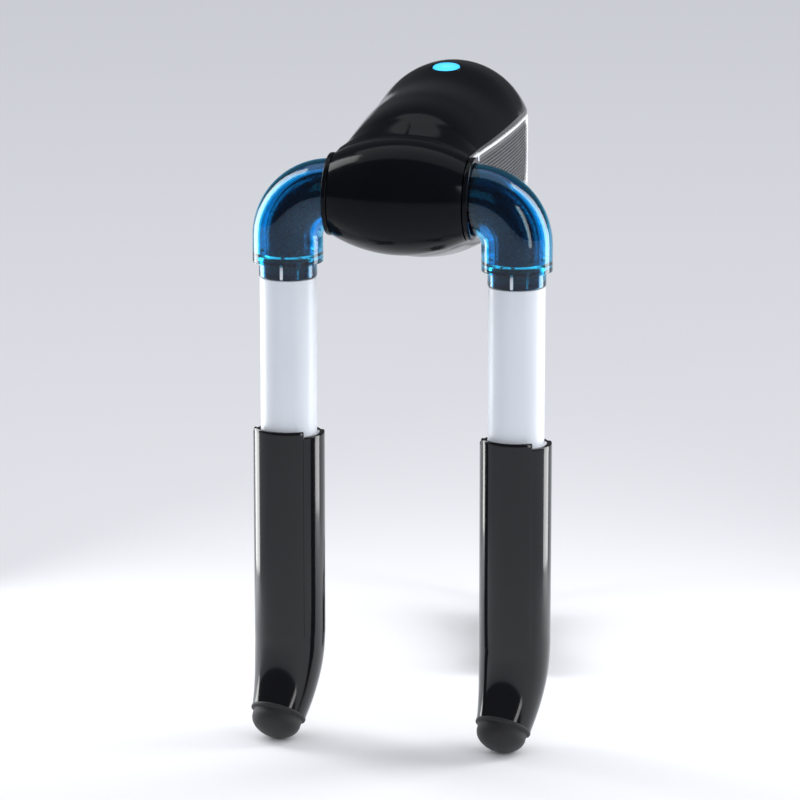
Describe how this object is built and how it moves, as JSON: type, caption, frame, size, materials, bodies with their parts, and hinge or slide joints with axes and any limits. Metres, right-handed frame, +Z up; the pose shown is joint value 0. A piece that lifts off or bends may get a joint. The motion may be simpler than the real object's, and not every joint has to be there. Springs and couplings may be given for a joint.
{
  "type": "boot dryer",
  "caption": "Compact electric boot dryer: a gloss black blower head on a barrel, with folding blue elbows and telescopic tubes that reach into a pair of boots.",
  "frame": {"origin": "middle of the barrel, on the axis that both tubes fold about", "axes": "+X along the fold axis towards the right tube, -Y towards the boots' toes, +Y along the head, +Z up"},
  "size_m": [0.1376, 0.2774, 0.2977],
  "materials": {
    "gloss_black": "high gloss moulded",
    "silver_trim": "satin silver trim",
    "grille_black": "dark perforated grille",
    "steel": "zinc plated",
    "button_blue": "lit translucent blue",
    "led_white": "clear lens",
    "circuit_board": "green solder mask",
    "component_black": "moulded",
    "fan_plastic": "moulded",
    "motor_metal": "bare",
    "heater_ceramic": "ceramic",
    "mica": "pressed mica",
    "elbow_blue": "tinted translucent",
    "liner_black": "moulded",
    "tube_white": "satin white",
    "tube_black": "gloss moulded",
    "ring_grey": "moulded",
    "foot_rubber": "matte soft rubber",
    "seal_rubber": "plain",
    "cord_jacket": "soft PVC jacket",
    "tie_grey": "hook and loop",
    "plug_brass": "bright pins"
  },
  "bodies": {
    "head": {"air_divider": "fan_plastic", "board_screws": "steel", "bottom_shell": "gloss_black", "button_bezel": "gloss_black", "button_leds": "led_white", "cable_tie": "tie_grey", "capacitors": "component_black", "case_screws": "steel", "control_board": "circuit_board", "cord_hank": "cord_jacket", "fan_frame": "fan_plastic", "fan_motor": "motor_metal", "heater_bars": "heater_ceramic", "heater_duct": "mica", "heater_fins": "motor_metal", "heater_frame": "mica", "left_intake_grille": "grille_black", "left_swivel_bush": "fan_plastic", "left_trim_ring": "silver_trim", "plug_body": "cord_jacket", "plug_pins": "plug_brass", "power_board": "circuit_board", "power_cord": "cord_jacket", "right_intake_grille": "grille_black", "right_swivel_bush": "fan_plastic", "right_trim_ring": "silver_trim", "strain_relief": "cord_jacket", "tact_switch": "component_black", "thermal_cutout": "component_black", "timer_chip": "component_black", "top_shell": "gloss_black", "transformer": "component_black"},
    "left_elbow": {"left_elbow_shell": "elbow_blue", "left_air_liner": "liner_black", "left_retaining_ring": "steel", "left_ring_collar": "gloss_black"},
    "left_inner_leg": {"left_inner_tube": "tube_white", "left_friction_ring": "seal_rubber", "left_guide_ring": "ring_grey"},
    "left_outer_leg": {"left_outer_tube": "tube_black", "left_cover_strip": "tube_black", "left_wiper_ring": "ring_grey", "left_foot": "foot_rubber"},
    "right_elbow": {"right_elbow_shell": "elbow_blue", "right_air_liner": "liner_black", "right_retaining_ring": "steel", "right_ring_collar": "gloss_black"},
    "right_inner_leg": {"right_inner_tube": "tube_white", "right_friction_ring": "seal_rubber", "right_guide_ring": "ring_grey"},
    "right_outer_leg": {"right_outer_tube": "tube_black", "right_cover_strip": "tube_black", "right_wiper_ring": "ring_grey", "right_foot": "foot_rubber"},
    "button": {"button_cap": "button_blue"},
    "fan_rotor": {"impeller": "fan_plastic"}
  },
  "joints": [
    {"name": "left_fold", "type": "hinge", "parent": "head", "child": "left_elbow", "pos_m": [0, 0, 0], "axis": [1, 0, 0], "range_deg": [0, 90]},
    {"name": "left_swivel", "type": "hinge", "parent": "left_elbow", "child": "left_inner_leg", "pos_m": [-0.0525, 0, -0.05], "axis": [0, 0, 1], "range_deg": [-46, 74]},
    {"name": "left_extend", "type": "slide", "parent": "left_inner_leg", "child": "left_outer_leg", "axis": [0, 0, 1], "range_m": [0, 0.065]},
    {"name": "right_fold", "type": "hinge", "parent": "head", "child": "right_elbow", "pos_m": [0, 0, 0], "axis": [1, 0, 0], "range_deg": [0, 90]},
    {"name": "right_swivel", "type": "hinge", "parent": "right_elbow", "child": "right_inner_leg", "pos_m": [0.0525, 0, -0.05], "axis": [0, 0, 1], "range_deg": [-46, 74]},
    {"name": "right_extend", "type": "slide", "parent": "right_inner_leg", "child": "right_outer_leg", "axis": [0, 0, 1], "range_m": [0, 0.065]},
    {"name": "button_press", "type": "slide", "parent": "head", "child": "button", "axis": [0, 0.1564, -0.9877], "range_m": [0, 0.001], "stiffness_N_per_m": 300},
    {"name": "fan_spin", "type": "hinge", "parent": "head", "child": "fan_rotor", "pos_m": [0, 0.09, 0], "axis": [0, 1, 0], "continuous": true}
  ]
}
